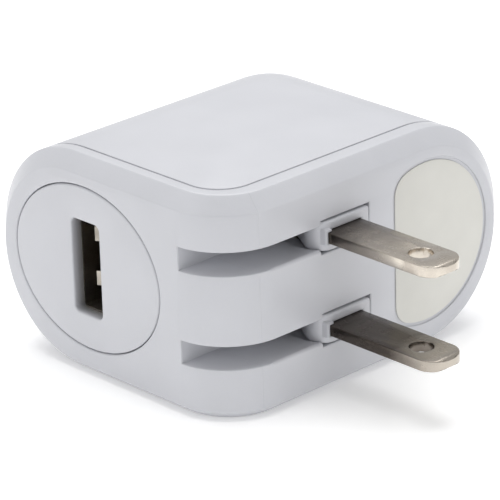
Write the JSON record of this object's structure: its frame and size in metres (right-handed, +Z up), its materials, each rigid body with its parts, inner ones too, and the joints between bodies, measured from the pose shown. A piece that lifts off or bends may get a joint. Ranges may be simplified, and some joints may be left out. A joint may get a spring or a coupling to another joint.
{
  "type": "usb wall charger",
  "caption": "white travel charger with half-round ends, flat blades that fold into side grooves, an oval port face with an upright charging port, and a blank oval label",
  "frame": {"origin": "on the flat prong face, midway between the two deployed blades", "axes": "-Y is out of the prong face along the deployed blades, -X is out of the port face, +Z is up with the charger lying on its flat underside"},
  "size_m": [0.051, 0.0627, 0.0302],
  "materials": {
    "casing": "fine satin, cool white",
    "label": "matte film, slightly warm grey white",
    "blades": "satin nickel plate, drawn along the blade",
    "inner_plastic": "as moulded",
    "spring_brass": "bare strip",
    "sheet_steel": "tin-plated sheet",
    "wire_sleeve": "smooth sleeve",
    "barrier_sheet": "thin film",
    "board": "lacquered laminate",
    "dark_plastic": "moulded black",
    "ferrite": "ground ferrite",
    "winding_tape": "yellow film tape",
    "can_sleeve": "shrunk sleeve",
    "lacquer": "dipped lacquer"
  },
  "bodies": {
    "housing": {"front_frame": "casing", "rear_shell": "casing", "port_bezel": "casing", "rating_label": "label", "carrier_cradle": "inner_plastic", "contact_spring_upper": "spring_brass", "contact_spring_lower": "spring_brass", "detent_spring": "sheet_steel", "input_lead_upper": "wire_sleeve", "input_lead_lower": "wire_sleeve", "insulating_sheet": "barrier_sheet", "main_board": "board", "usb_shell": "sheet_steel", "usb_tongue": "dark_plastic", "usb_contacts": "spring_brass", "transformer_core": "ferrite", "transformer_bobbin": "dark_plastic", "transformer_winding": "winding_tape", "input_capacitor_large": "can_sleeve", "input_capacitor_small": "can_sleeve", "output_capacitor": "can_sleeve", "filter_inductor": "ferrite", "fusible_resistor": "lacquer", "bridge_rectifier": "dark_plastic", "controller_chip": "dark_plastic", "optocoupler": "dark_plastic", "y_capacitor": "lacquer", "output_diode": "dark_plastic", "chip_resistors": "dark_plastic"},
    "prongs": {"prong_carrier": "casing", "blade_upper": "blades", "blade_lower": "blades"}
  },
  "joints": [
    {"name": "prong_fold", "type": "hinge", "parent": "housing", "child": "prongs", "pos_m": [0.0009, 0.0037, 0], "axis": [0, 0, -1], "range_deg": [0, 90]}
  ]
}
